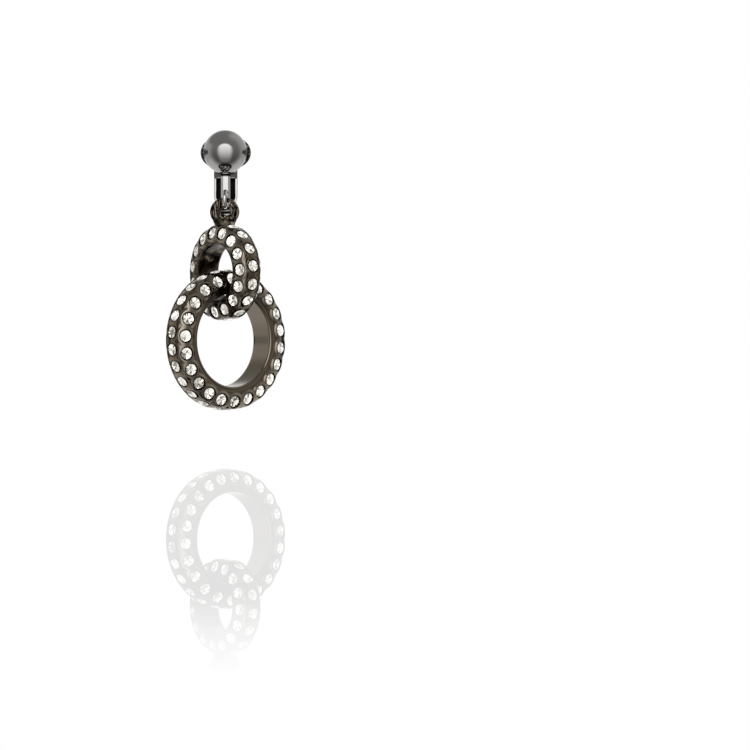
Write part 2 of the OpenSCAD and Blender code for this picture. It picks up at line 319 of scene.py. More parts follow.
def polish_group():
    """Buffing left in a polished metal: cloudy gloss and fine hairlines."""
    group, given, out = new_group(
        "buffed_polish",
        [
            ("Cloud Scale", "NodeSocketFloat", 600.0),
            ("Hairline Scale", "NodeSocketFloat", 3000.0),
            ("Low", "NodeSocketFloat", 0.05),
            ("High", "NodeSocketFloat", 0.15),
        ],
        [("Roughness", "NodeSocketFloat"), ("Height", "NodeSocketFloat")],
    )
    links = group.links
    spread = clouds(group, given.outputs["Cloud Scale"], BUFFING_DETAIL, BUFFING_SPAN)
    links.new(given.outputs["Low"], spread.inputs["To Min"])
    links.new(given.outputs["High"], spread.inputs["To Max"])
    links.new(spread.outputs["Result"], out.inputs["Roughness"])
    coord = add(group, "ShaderNodeTexCoord")
    stretch = add(group, "ShaderNodeMapping")
    stretch.inputs["Scale"].default_value = HAIRLINE_STRETCH
    links.new(coord.outputs["Object"], stretch.inputs["Vector"])
    hairline = add(group, "ShaderNodeTexNoise")
    hairline.inputs["Detail"].default_value = HAIRLINE_DETAIL
    links.new(stretch.outputs["Vector"], hairline.inputs["Vector"])
    links.new(given.outputs["Hairline Scale"], hairline.inputs["Scale"])
    links.new(hairline.outputs["Fac"], out.inputs["Height"])
    return group


def plating_group():
    """Plating over a casting: warm and cool clouds, lighter where a highlight is painted, darker where
    shade is painted.
    """
    group, given, out = new_group(
        "cast_plating",
        [
            ("Cool", "NodeSocketColor", (0.2, 0.18, 0.16, 1)),
            ("Warm", "NodeSocketColor", (0.22, 0.18, 0.13, 1)),
            # The colours of the painted highlight and of the painted shade
            ("Worn", "NodeSocketColor", (0.25, 0.24, 0.22, 1)),
            ("Deep", "NodeSocketColor", (0.03, 0.025, 0.02, 1)),
            ("Cloud Scale", "NodeSocketFloat", 250.0),
        ],
        [("Color", "NodeSocketColor")],
    )
    links = group.links
    spread = clouds(group, given.outputs["Cloud Scale"], PLATING_DETAIL, PLATING_SPAN)
    tone = add(group, "ShaderNodeMix", data_type="RGBA")
    links.new(spread.outputs["Result"], tone.inputs["Factor"])
    links.new(given.outputs["Cool"], tone.inputs["A"])
    links.new(given.outputs["Warm"], tone.inputs["B"])
    # Painted highlight: a lighter colour laid where the mesh's highlight mask is set
    highlight_mask = add(group, "ShaderNodeAttribute", attribute_name="painted_highlight")
    raised = add(group, "ShaderNodeMix", data_type="RGBA")
    links.new(highlight_mask.outputs["Fac"], raised.inputs["Factor"])
    links.new(tone.outputs["Result"], raised.inputs["A"])
    links.new(given.outputs["Worn"], raised.inputs["B"])
    # Painted shade: a darker colour laid where the mesh's shade mask is set
    depth_and_shade = add(group, "ShaderNodeAttribute", attribute_name="deep")
    shade = add(group, "ShaderNodeMix", data_type="RGBA")
    links.new(depth_and_shade.outputs["Fac"], shade.inputs["Factor"])
    links.new(raised.outputs["Result"], shade.inputs["A"])
    links.new(given.outputs["Deep"], shade.inputs["B"])
    links.new(shade.outputs["Result"], out.inputs["Color"])
    return group


buffed_polish = polish_group()
cast_plating = plating_group()


# Materials

# The size of the plating's clouds, as a noise scale
PLATING_CLOUDS = 260.0
CRYSTAL_TINT = (0.99, 0.986, 0.972, 1)
CRYSTAL_IOR = 1.56
# A stone's silvered back, from its darkest facet to its lightest: colour and a painted
# glow; the dark and light facets are painted reflections
FOIL_COLOURS = ((0.3, 0.27, 0.22, 1), (0.98, 0.972, 0.95, 1))
FOIL_PAINTED_GLOW = ((0.02, 0.02, 0.02, 1), (0.52, 0.508, 0.48, 1))
FOIL_ROUGHNESS = 0.12


def plated_metal(name, cool, warm, painted_highlight, deep, gloss, grain):
    """A plated metal: cool and warm clouds, lighter where a highlight is painted, darker where shade
    is painted.
    """
    material, tree, bsdf = shader_tree(name)
    bsdf.inputs["Metallic"].default_value = 1.0
    plating = place(
        tree,
        cast_plating,
        Cool=(*cool, 1),
        Warm=(*warm, 1),
        Worn=(*painted_highlight, 1),
        Deep=(*deep, 1),
        Cloud_Scale=PLATING_CLOUDS,
    )
    tree.links.new(plating.outputs["Color"], bsdf.inputs["Base Color"])
    polish = place(tree, buffed_polish, Low=gloss[0], High=gloss[1])
    tree.links.new(polish.outputs["Roughness"], bsdf.inputs["Roughness"])
    bump(tree, polish.outputs["Height"], bsdf, grain * MM)
    return material


def crystal_glass():
    material, _, bsdf = shader_tree("clear_crystal")
    bsdf.inputs["Base Color"].default_value = CRYSTAL_TINT
    bsdf.inputs["Roughness"].default_value = 0.0
    bsdf.inputs["IOR"].default_value = CRYSTAL_IOR
    bsdf.inputs["Transmission Weight"].default_value = 1.0
    return material


def crystal_foil():
    """The silvered back of a stone, glowing though it is no lamp, with painted reflections that differ
    from facet to facet.
    """
    material, tree, bsdf = shader_tree("silver_foil")
    bsdf.inputs["Metallic"].default_value = 1.0
    bsdf.inputs["Roughness"].default_value = FOIL_ROUGHNESS
    # A painted glow: the foil shines though it is no lamp
    bsdf.inputs["Emission Strength"].default_value = 1.0
    tone = add(tree, "ShaderNodeAttribute", attribute_name="facet_painted_reflection")
    for colours, socket in ((FOIL_COLOURS, "Base Color"), (FOIL_PAINTED_GLOW, "Emission Color")):
        ramp = add(tree, "ShaderNodeValToRGB")
        for element, colour in zip(ramp.color_ramp.elements, colours):
            element.color = colour
        tree.links.new(tone.outputs["Fac"], ramp.inputs["Fac"])
        tree.links.new(ramp.outputs["Color"], bsdf.inputs[socket])
    return material


# Mesh helpers


def finish_object(name, mesh, materials):
    obj = bpy.data.objects.new(name, mesh)
    bpy.context.scene.collection.objects.link(obj)
    for material in materials:
        mesh.materials.append(material)
    return obj


def grid_mesh(name, points):
    """A closed skin over a grid of points that wraps around both ways."""
    rows, columns = points.shape[:2]
    index = np.arange(rows * columns).reshape(rows, columns)
    right = np.roll(index, -1, axis=1)
    below = np.roll(index, -1, axis=0)
    corner = np.roll(right, -1, axis=0)
    faces = np.stack([index, right, corner, below], axis=-1).reshape(-1, 4)
    mesh = bpy.data.meshes.new(name)
    mesh.from_pydata(points.reshape(-1, 3).tolist(), [], faces.tolist())
    mesh.update()
    return mesh


def lathe(profile, count):
    """Points of a closed turned form: each row is (radius, height); ends on the axis."""
    angles = np.linspace(0, 2 * math.pi, count, endpoint=False)
    vertices = [(0.0, 0.0, profile[0][1])]
    for radius, height in profile[1:-1]:
        for angle in angles:
            vertices.append((radius * math.cos(angle), radius * math.sin(angle), height))
    vertices.append((0.0, 0.0, profile[-1][1]))
    faces = []
    for i in range(count):
        faces.append((0, 1 + i, 1 + (i + 1) % count))
    for row in range(len(profile) - 3):
        start = 1 + row * count
        for i in range(count):
            j = (i + 1) % count
            faces.append((start + i, start + count + i, start + count + j, start + j))
    start = 1 + (len(profile) - 3) * count
    for i in range(count):
        faces.append((start + (i + 1) % count, start + i, len(vertices) - 1))
    return np.array(vertices), faces


def join_copies(name, vertices, faces, matrices):
    """One mesh of many copies of a form, each at its own matrix."""
    all_vertices = []
    all_faces = []
    form = np.c_[vertices, np.ones(len(vertices))]
    for number, matrix in enumerate(matrices):
        all_vertices.append((form @ np.array(matrix).T)[:, :3])
        start = number * len(vertices)
        all_faces += [tuple(start + i for i in face) for face in faces]
    mesh = bpy.data.meshes.new(name)
    mesh.from_pydata(np.concatenate(all_vertices).tolist(), [], all_faces)
    mesh.update()
    return mesh


def outward(mesh):
    """Turns every face of a closed mesh to point outwards."""
    shape = bmesh.new()
    shape.from_mesh(mesh)
    bmesh.ops.recalc_face_normals(shape, faces=shape.faces)
    shape.to_mesh(mesh)
    shape.free()


def boolean(obj, other, operation):
    """Cuts or adds another mesh, and keeps the result."""
    modifier = obj.modifiers.new("join", "BOOLEAN")
    modifier.operation = operation
    modifier.solver = "MANIFOLD"
    modifier.object = other
    apply_modifiers(obj)
    bpy.data.objects.remove(other)


def apply_modifiers(obj):
    graph = bpy.context.evaluated_depsgraph_get()
    mesh = bpy.data.meshes.new_from_object(obj.evaluated_get(graph))
    old = obj.data
    obj.modifiers.clear()
    obj.data = mesh
    bpy.data.meshes.remove(old)


def smooth_shade(mesh, degrees):
    """Smooth shading with sharp edges where faces meet at more than an angle."""
    mesh.polygons.foreach_set("use_smooth", [True] * len(mesh.polygons))
    mesh.set_sharp_from_angle(angle=math.radians(degrees))


# Rings


def ring_frame(centre, turn):
    """From a ring's own millimetres, with its axis along Z, to metres in place."""
    return (
        Matrix.Translation(centre)
        @ Matrix.Rotation(math.radians(turn), 4, "Z")
        @ Matrix.Rotation(math.pi / 2, 4, "X")
        @ Matrix.Scale(MM, 4)
    )


def arc(centre, radius, start, end, count, flat=0):
    """Points of an arc, flattened around its middle, each with the direction out of it."""
    found = []
    middle = math.radians((start + end) / 2)
    for i in range(count):
        angle = math.radians(start + (end - start) * i / count)
        way = (math.cos(angle), math.sin(angle))
        reach = radius * min(1, math.cos(math.radians(flat)) / math.cos(angle - middle))
        found.append((centre[0] + reach * way[0], centre[1] + reach * way[1], *way))
    return found


def straight(start, end, way, count):
    """Points of a straight stretch, each with the direction out of it."""
    found = []
    for i in range(count):
        share = i / count
        found.append((
            start[0] + (end[0] - start[0]) * share,
            start[1] + (end[1] - start[1]) * share,
            *way,
        ))
    return found


def ease(value):
    value = np.clip(value, 0, 1)
    return value * value * (3 - 2 * value)


def ring_section(ring):
    """The closed outline of a ring's section: radius and height."""
    half = ring["width"] / 2 - FACE_SINK
    hole, radius, rounding = ring["hole"], ring["radius"] - RIM_SINK, ring["corner"]
    rim = half - rounding
    inner, outer = hole + INNER_EDGE, radius - rounding
    side = half - INNER_EDGE
    section = np.array(
        straight((hole, -side), (hole, side), (-1, 0), HOLE_STEPS)
        + arc((inner, side), INNER_EDGE, 180, 90, EDGE_STEPS)
        + straight((inner, half), (outer, half), (0, 1), FACE_STEPS)
        + arc((outer, rim), rounding, 90, 0, CORNER_STEPS, CORNER_FLAT)
        + straight((radius, rim), (radius, -rim), (1, 0), RIM_STEPS)
        + arc((outer, -rim), rounding, 0, -90, CORNER_STEPS, CORNER_FLAT)
        + straight((outer, -half), (inner, -half), (0, -1), FACE_STEPS)
        + arc((inner, -side), INNER_EDGE, 270, 180, EDGE_STEPS)
    )
    tilt = np.degrees(np.arctan2(np.abs(section[:, 3]), section[:, 2]))
    cut = VALLEY[2] * np.exp(-(((tilt - VALLEY[0]) / VALLEY[1]) ** 2))
    for from_edge, width, depth_and_shade in GROOVES:
        at_groove = (section[:, 0] - inner - from_edge) / width
        cut += depth_and_shade * np.exp(-(at_groove**2)) * np.abs(section[:, 3])
    section[:, :2] -= cut[:, None] * section[:, 2:]
    return section[:, :2]


def seat_places(ring, bail_angle):
    """The middle and the outward direction of every stone on a ring."""
    half, rounding = ring["width"] / 2, ring["round"]
    places = []
    for tilt, count, first in ring["rows"]:
        side = 0 if tilt == 90 else math.copysign(1, 90 - tilt)
        lean = math.radians(tilt)
        out = ring["radius"] - rounding + rounding * math.sin(lean)
        along = side * (half - rounding) + rounding * math.cos(lean)
        for i in range(count):
            degrees = first + i * 360 / count
            from_top = abs((degrees + 90) % 360 - 180)
            if tilt == 90 and from_top < bail_angle:
                continue
            if tilt < 90:
                amount, most_at = ring["drift"]
                degrees += amount * max(math.cos(math.radians(degrees - most_at)), 0)
            angle = math.radians(degrees)
            middle = Vector((out * math.cos(angle), out * math.sin(angle), along))
            way = Vector((
                math.sin(lean) * math.cos(angle),
                math.sin(lean) * math.sin(angle),
                math.cos(lean),
            ))
            places.append((middle, way))
    return places


def boss_form(way):
    """Height, bend and painted highlight of a boss, from the way its stone faces in the ring's frame.
    """
    return FACE_BOSS if way.z > FRONT_LEAST else LOW_BOSS


def boss_rise(points, middle, way):
    """How far each point is up one boss, 0 to 1, and its place above, along and aside."""
    row = Vector((-middle.y, middle.x, 0)).normalized()
    offset = points - np.array(middle)
    above = offset @ np.array(way)
    along = offset @ np.array(row)
    aside = np.sqrt(np.maximum((offset * offset).sum(1) - above**2 - along**2, 0))
    across = np.hypot(along * BOSS_STRETCH, aside)
    near = np.abs(above) < BOSS_TOP_RADIUS
    rise = ease((BOSS_FOOT_RADIUS - across) / (BOSS_FOOT_RADIUS - BOSS_TOP_RADIUS)) * near
    return rise, above, along, aside


def raise_bosses(points, places):
    """Lifts a soft flat-topped boss around each seat, drawn out along its row."""
    flat = points.reshape(-1, 3)
    miss = np.ones(len(flat))
    weight = np.zeros(len(flat))
    lift = np.zeros_like(flat)
    for middle, way in places:
        rise, above, along, aside = boss_rise(flat, middle, way)
        miss *= 1 - rise
        share = rise**3
        weight += share
        height, bend, _ = boss_form(way)
        outward_share = math.hypot(way.x, way.y)
        fall = along**2 / (2 * math.hypot(middle.x, middle.y)) * outward_share
        target = height - fall - bend * aside**2
        lift += (share * (target - above))[:, None] * np.array(way)
    lift /= np.maximum(weight, NO_WEIGHT)[:, None]
    raised = flat + lift * (1 - miss)[:, None]
    return raised.reshape(points.shape)


def look_at_matrix(middle, way, spin=0.0):
    """A matrix that puts local Z along a direction at a place."""
    turn = way.to_track_quat("Z", "Y").to_matrix().to_4x4()
    return Matrix.Translation(middle) @ turn @ Matrix.Rotation(spin, 4, "Z")


def seat_cutter(places):
    """Tapered cups with a small bevel at the rim, one for each stone."""
    deep = GIRDLE_LEVEL - PAVILION - SEAT_FLOOR
    girdle_radius = STONE_RADIUS - SEAT_GRIP
    profile = [
        (0, deep),
        (girdle_radius * SEAT_FLOOR_SHARE, deep),
        (girdle_radius, GIRDLE_LEVEL - GIRDLE),
        (SEAT_RIM_RADIUS - SEAT_BEVEL, GIRDLE_LEVEL + SEAT_SHOULDER),
        (SEAT_RIM_RADIUS, GIRDLE_LEVEL + SEAT_RIM),
        (SEAT_RIM_RADIUS + SEAT_FLARE, GIRDLE_LEVEL + SEAT_TOP),
        (0, GIRDLE_LEVEL + SEAT_TOP),
    ]
    vertices, faces = lathe(profile, SEAT_SIDES)
    matrices = [look_at_matrix(middle, way) for middle, way in places]
    mesh = join_copies("seats", vertices, faces, matrices)
    outward(mesh)
    return finish_object("seats", mesh, [])


def on_oval(oval, angle, extra=0.0):
    """A point on an oval at an angle, moved out by an extra length."""
    across, up, half_w, half_h = oval
    way = Vector((math.cos(angle), math.sin(angle)))
    return Vector((across + half_w * way.x, up + half_h * way.y)) + way * extra


def bail_points():
    """The bail's skin in its own plane: across, up and forward, in millimetres."""
    points = np.zeros((BAIL_AROUND, BAIL_SECTION, 3))
    for i in range(BAIL_AROUND):
        angle = 2 * math.pi * i / BAIL_AROUND
        from_notch = abs(math.degrees(angle) - NOTCH_ANGLE)
        notch = NOTCH_DEPTH * ease((NOTCH_REACH - from_notch) / NOTCH_EASE)
        inner = on_oval(BAIL_HOLE, angle, notch)
        outer = on_oval(BAIL_OUTLINE, angle)
        middle = (inner + outer) / 2
        reach = (outer - inner).length / 2
        way = (outer - inner).normalized()
        at_top = ease(1 - from_notch / THIN_REACH)
        depth_and_shade = BAIL_DEPTH + (BAIL_TOP_DEPTH - BAIL_DEPTH) * at_top
        wander = noise.noise(Vector((math.cos(angle), math.sin(angle), 0)) * WANDER_SCALE)
        for j in range(BAIL_SECTION):
            turn = 2 * math.pi * j / BAIL_SECTION
            flute = math.cos(FLUTES * 2 * turn + FLUTE_WANDER * wander) - 1
            flute *= FLUTE_DEPTH * (1 - at_top) * abs(math.sin(turn))
            side = math.copysign(abs(math.cos(turn)) ** BAIL_FULLNESS, math.cos(turn))
            face = math.copysign(abs(math.sin(turn)) ** BAIL_FULLNESS, math.sin(turn))
            out = reach * side
            front = (depth_and_shade + flute) * face
            points[i, j] = (middle.x + way.x * out, middle.y + way.y * out, front)
    return points


def bail_parts(to_ring):
    """The bail and its foot, as closed meshes in the small ring's own millimetres."""
    place_bail = to_ring @ ring_frame(bail_centre, BAIL_TURN)
    loop = grid_mesh("bail", bail_points())
    loop.transform(place_bail)
    outward(loop)
    vertices, faces = lathe(FOOT_PROFILE, FOOT_SIDES)
    vertices[:, 1] *= FOOT_FLATNESS
    foot = join_copies("foot", vertices, faces, [Matrix.Identity(4)])
    foot.transform(
        to_ring
        @ Matrix.Translation(bail_centre + Vector((FOOT_SHIFT, 0, -FOOT_DROP)) * MM)
        @ Matrix.Rotation(math.radians(BAIL_TURN), 4, "Z")
        @ Matrix.Scale(MM, 4)
    )
    outward(foot)
    return [finish_object("bail", loop, []), finish_object("foot", foot, [])]


def vertex_places(mesh):
    co = np.empty(len(mesh.vertices) * 3)
    mesh.vertices.foreach_get("co", co)
    return co.reshape(-1, 3)


def store_mask(mesh, name, values):
    attribute = mesh.attributes.new(name, "FLOAT", "POINT")
    attribute.data.foreach_set("value", np.asarray(values, dtype=np.float32))


def noise_where(wanted, places):
    """Smooth noise at the wanted places, and 0 at the others."""
    return np.array([noise.noise(Vector(p)) if flag else 0 for p, flag in zip(places, wanted)])


def varied(noise_values, strength, least, most):
    """Noise as a factor around 1, kept between a least and a most."""
    return np.clip(1 + strength * noise_values, least, most)


def mark_plating(mesh, places, ring, link):
    """Marks painted shade (seats, valleys, bail, link, a dark hole), a darkening all over, and painted
    highlights (bosses, bail streaks, hole).
    """
    co = vertex_places(mesh)
    from_axis = np.hypot(co[:, 0], co[:, 1])
    in_hole = from_axis < ring["hole"] + INNER_EDGE * HOLE_EDGE_SHARE
    blotch = noise_where(in_hole, co * BLOTCH_SCALE)
    # Painted shade in blotches inside the hole, and a darkening all over
    deep = ring["hole_painted_shade"] * in_hole * varied(blotch, *BLOTCH)
    deep = np.maximum(deep, ring["dark_all"])
    from_link = np.linalg.norm(co - np.array(link), axis=1)
    # Painted shade where the rings link
    deep = np.maximum(deep, LINK_PAINTED_SHADE * ease(1 - from_link / LINK_REACH))
    on_bail = ease((co[:, 1] - ring["radius"] - BAIL_START) / BAIL_FADE)
    streak = noise_where(on_bail > 0, co * np.array(STREAK_SCALE))
    # Painted shade in streaks on the bail
    deep = np.maximum(deep, BAIL_PAINTED_SHADE * on_bail * varied(streak, *STREAK))
    # Painted highlight in streaks on the bail, and in the hole
    light = np.clip(-HIGHLIGHT_STREAK * streak - HIGHLIGHT_FROM, 0, 1)
    painted_highlight = np.maximum(on_bail * light, ring["hole_painted_highlight"] * in_hole)
    seats = np.zeros(len(co))
    for middle, way in places:
        rise, above, along, aside = boss_rise(co, middle, way)
        # Painted highlight on each boss
        painted_highlight = np.maximum(painted_highlight, rise * boss_form(way)[2])
        inside = (np.hypot(along, aside) < SEAT_RIM_RADIUS - SEAT_SLACK) & (np.abs(above) < SEAT_REACH)
        # Painted shade inside each seat
        seats = np.maximum(seats, inside)
    corner = ring["corner"]
    from_corner = np.stack(
        [
            from_axis - ring["radius"] + RIM_SINK + corner,
            np.abs(co[:, 2]) - ring["width"] / 2 + FACE_SINK + corner,
        ]
    )
    tilt = np.degrees(np.arctan2(from_corner[1], np.maximum(from_corner[0], SEAT_SLACK)))
    from_valley = (tilt - VALLEY[0]) / (VALLEY_SPREAD * VALLEY[1])
    valley = np.exp(-(from_valley**2)) * (from_corner[0] > 0)
    # Painted shade in the valleys between the rows, less where a boss has a painted highlight
    deep = np.maximum(deep, VALLEY_PAINTED_SHADE * valley * (1 - HIGHLIGHT_CLEARS * painted_highlight))
    store_mask(mesh, "deep", np.maximum(deep, seats))
    store_mask(mesh, "painted_highlight", painted_highlight * (1 - seats))


def cast_ring(name, ring, centre, extra_parts, bail_angle, materials):
    """A ring with soft bosses, cut seats and whatever is cast onto it."""
    to_world = ring_frame(centre, ring["turn"])
    section = ring_section(ring)
    angles = np.linspace(0, 2 * math.pi, ring["around"], endpoint=False)
    points = np.stack(
        [
            np.outer(np.cos(angles), section[:, 0]),
            np.outer(np.sin(angles), section[:, 0]),
            np.tile(section[:, 1], (len(angles), 1)),
        ],
        axis=-1,
    )
    places = seat_places(ring, bail_angle)
    mesh = grid_mesh(name, raise_bosses(points, places))
    outward(mesh)
    obj = finish_object(name, mesh, [])
    for part in extra_parts:
        boolean(obj, part, "UNION")
    boolean(obj, seat_cutter(places), "DIFFERENCE")
    mesh = obj.data
    mesh.materials.clear()
    for material in materials:
        mesh.materials.append(material)
    mark_plating(mesh, places, ring, to_world.inverted() @ link_place)
    mesh.transform(to_world)
    smooth_shade(mesh, SHARP_FROM)
    return obj, places, to_world


# Stones


def brilliant():
    """A round brilliant cut: corners, then crown faces, then pavilion faces."""
    vertices = []

    def ring_of(radius, height, count, shift=0.0):
        start = len(vertices)
        for i in range(count):
            angle = 2 * math.pi * (i + shift) / count
            vertices.append((radius * math.cos(angle), radius * math.sin(angle), height))
        return [start + i for i in range(count)]

    top = GIRDLE_LEVEL + CROWN
    table = ring_of(STONE_RADIUS * TABLE_SHARE, top, FACET_SIDES)
    star_radius = STONE_RADIUS * STAR_SHARE / math.cos(math.pi / FACET_SIDES)
    star = ring_of(star_radius, GIRDLE_LEVEL + CROWN * STAR_LEVEL, FACET_SIDES, 0.5)
    girdle = ring_of(STONE_RADIUS, GIRDLE_LEVEL, 2 * FACET_SIDES)
    under = ring_of(STONE_RADIUS, GIRDLE_LEVEL - GIRDLE, 2 * FACET_SIDES)
    lower_level = GIRDLE_LEVEL - GIRDLE - PAVILION * LOWER_LEVEL
    lower = ring_of(STONE_RADIUS * LOWER_SHARE, lower_level, FACET_SIDES, 0.5)
    point = len(vertices)
    vertices.append((0, 0, GIRDLE_LEVEL - GIRDLE - PAVILION))
    crown_faces = [tuple(table)]
    pavilion_faces = []
    for i in range(FACET_SIDES):
        after, before = (i + 1) % FACET_SIDES, (i - 1) % FACET_SIDES
        a, b, c = girdle[2 * i], girdle[2 * i + 1], girdle[2 * after]
        crown_faces.append((table[i], star[i], table[after]))
        crown_faces.append((table[i], star[before], a, star[i]))
        crown_faces.append((star[i], a, b))
        crown_faces.append((star[i], b, c))
        d, e, f = under[2 * i], under[2 * i + 1], under[2 * after]
        crown_faces.append((a, d, e, b))
        crown_faces.append((b, e, f, c))
        pavilion_faces.append((point, lower[i], d, lower[before]))
        pavilion_faces.append((lower[i], e, d))
        pavilion_faces.append((lower[i], f, e))
    return np.array(vertices), crown_faces, pavilion_faces


def set_stones(name, places, to_world, seed, materials):
    """All the stones of one ring, each spun its own way, with facets of painted reflection, dark and
    bright.
    """
    dice = random.Random(seed)
    vertices, crown_faces, pavilion_faces = brilliant()
    faces = crown_faces + pavilion_faces
    matrices = []
    for middle, way in places:
        lean = Vector((dice.uniform(-1, 1), dice.uniform(-1, 1), dice.uniform(-1, 1))) * STONE_LEAN
        matrices.append(look_at_matrix(middle, (way + lean).normalized(), dice.uniform(0, math.pi)))
    mesh = join_copies(name, vertices, faces, matrices)
    outward(mesh)
    mesh.transform(to_world)
    # Each facet's tone is a painted reflection, scaled by its stone's brightness
    tones = []
    slots = []
    for _ in places:
        brightness = dice.uniform(*STONE_BRIGHTNESS)
        for number in range(len(faces)):
            slots.append(1 if number >= len(crown_faces) else 0)
            tones.append(brightness * dice.choice(FACET_REFLECTION_TONES))
    mesh.polygons.foreach_set("material_index", slots)
    attribute = mesh.attributes.new("facet_painted_reflection", "FLOAT", "FACE")
    attribute.data.foreach_set("value", tones)
    return finish_object(name, mesh, materials)


# Clip

SAME_PLACE = 1e-7
SOFTENING = 0.5


def soft_copy(name, node, voxel, rounds, material):
    """A finer copy of a frame piece with its hard edges eased, as tumbling leaves them."""
    mesh = nodes[node].data.copy()
    mesh.materials.clear()
    obj = finish_object(name, mesh, [material])
    shape = bmesh.new()
    shape.from_mesh(mesh)
    bmesh.ops.remove_doubles(shape, verts=shape.verts, dist=SAME_PLACE)
    shape.to_mesh(mesh)
    shape.free()
    remesh = obj.modifiers.new("remesh", "REMESH")
    remesh.mode = "VOXEL"
    remesh.voxel_size = voxel * MM
    remesh.use_smooth_shade = True
    soften = obj.modifiers.new("soften", "SMOOTH")
    soften.factor = SOFTENING
    soften.iterations = rounds
    apply_modifiers(obj)
    return obj


# Places on the strap and the paddle, in millimetres from the frame's origin. Fade:
# over what length a mark begins.
# Above this the strap is painted in shade, behind the ball
SOLDER_LOW = -4.5
SOLDER_FADE = 0.3
LOOP_TOP = -6.6
LOOP_FRONT = 0.95
LOOP_FADE = 0.5
LOOP_TURN = -6
KNUCKLE_TOP = -9.3
KNUCKLE_FADE = 0.4
# How much shade is painted on the knuckle, on the stem behind the ball and on the rails' sides
KNUCKLE_PAINTED_SHADE = 0.3
STEM_PAINTED_SHADE = 0.9
RAIL_SIDE_PAINTED_SHADE = 0.75
SIDEWAYS = (0.55, 0.3)  # how far to the side such a face looks, and its fade
PAD_LOW = -3.6
PAD_BACK = 1.1
PAD_FADE = 0.3
SIDE_TOP = -4.66
SIDE_FRONT = 0.55
SIDE_FADE = 0.2
CHANNEL_HALF = 1.74
CHANNEL_FLOOR = 1.81
# The pad's pebbles. Their height counts this much on its edge, and 1 more on its front
PEBBLE_SIZE = 0.55
PEBBLE_HEIGHT = 0.09
PEBBLE_LEVEL = 0.5
PEBBLE_EDGE = 0.4
# How much shade is painted on a pebble in its middle, and how much more away from it
PEBBLE_PAINTED_SHADE = (0.72, 0.5)


def finish_strap(obj):
    """Turns the loop a little on its solder, and paints shade on the strap behind the ball and on the
    knuckle.
    """
    mesh = obj.data
    co = vertex_places(mesh)
    low = co[:, 2] / MM < LOOP_TOP
    weight = ease((-co[:, 1] / MM - LOOP_FRONT) / LOOP_FADE) * low * math.radians(LOOP_TURN)
    around = co - np.array(loop_centre)
    turned_x = around[:, 0] * np.cos(weight) - around[:, 1] * np.sin(weight)
    turned_y = around[:, 0] * np.sin(weight) + around[:, 1] * np.cos(weight)
    moved = np.stack([turned_x, turned_y, around[:, 2]], axis=-1) + np.array(loop_centre)
    mesh.vertices.foreach_set("co", moved.ravel())
    mesh.update()
    up = co[:, 2] / MM
    # Painted shade on the strap behind the ball, and on the back of the knuckle
    shade_behind_ball = ease((up - SOLDER_LOW) / SOLDER_FADE)
    knuckle_shade = KNUCKLE_PAINTED_SHADE * ease((KNUCKLE_TOP - up) / KNUCKLE_FADE) * (co[:, 1] > 0)
    store_mask(mesh, "deep", np.maximum(shade_behind_ball, knuckle_shade))


def age_paddle(obj):
    """Pebbles on the pad's front, and masks of painted shade for the pad, the channel, the stem, the
    rails' sides and the knuckle.
    """
    mesh = obj.data
    co = vertex_places(mesh) / MM
    across, back, up = np.abs(co[:, 0]), co[:, 1], co[:, 2]
    pad = ease((up - PAD_LOW) / PAD_FADE) * ease((PAD_BACK - back) / PAD_FADE)
    channel = (across < CHANNEL_HALF) & (up < SIDE_TOP) & (back < CHANNEL_FLOOR)
    # Painted shade inside the channel, on the stem behind the ball and on the knuckle
    deep = channel * ease((back - SIDE_FRONT) / SIDE_FADE)
    deep = np.maximum(deep, STEM_PAINTED_SHADE * ease((up - SIDE_TOP) / SIDE_FADE))
    deep = np.maximum(deep, KNUCKLE_PAINTED_SHADE * ease((KNUCKLE_TOP - up) / KNUCKLE_FADE))
    normals = np.empty(len(mesh.vertices) * 3)
    mesh.vertices.foreach_get("normal", normals)
    normals = normals.reshape(-1, 3)
    # Painted shade on the faces that look sideways below the stem's top
    side_faces = ease((np.abs(normals[:, 0]) - SIDEWAYS[0]) / SIDEWAYS[1]) * (up < SIDE_TOP)
    deep = np.maximum(deep, RAIL_SIDE_PAINTED_SHADE * side_faces)
    for number in np.nonzero(pad > 0)[0]:
        near = noise.voronoi(Vector(co[number]) / PEBBLE_SIZE)[0][0]
        pebble = PEBBLE_HEIGHT * (PEBBLE_LEVEL - near) * pad[number]
        co[number] += normals[number] * pebble * (PEBBLE_EDGE + max(-normals[number, 1], 0))
        # Painted shade on the pad, more between the pebbles
        deep[number] = pad[number] * min(PEBBLE_PAINTED_SHADE[0] + PEBBLE_PAINTED_SHADE[1] * near, 1)
    mesh.vertices.foreach_set("co", (co * MM).ravel())
    mesh.update()
    store_mask(mesh, "deep", deep)


BALL_AROUND = 128
BALL_UP = 96


def polished_ball(material):
    mesh = bpy.data.meshes.new("ball_polished")
    shape = bmesh.new()
    bmesh.ops.create_uvsphere(
        shape, u_segments=BALL_AROUND, v_segments=BALL_UP, radius=ball_radius
    )
    bmesh.ops.rotate(shape, verts=shape.verts, matrix=Matrix.Rotation(math.pi / 2, 3, "X"))
    bmesh.ops.translate(shape, verts=shape.verts, vec=ball_centre)
    shape.to_mesh(mesh)
    shape.free()
    smooth_shade(mesh, SHARP_FROM)
    return finish_object("ball_polished", mesh, [material])


# The object

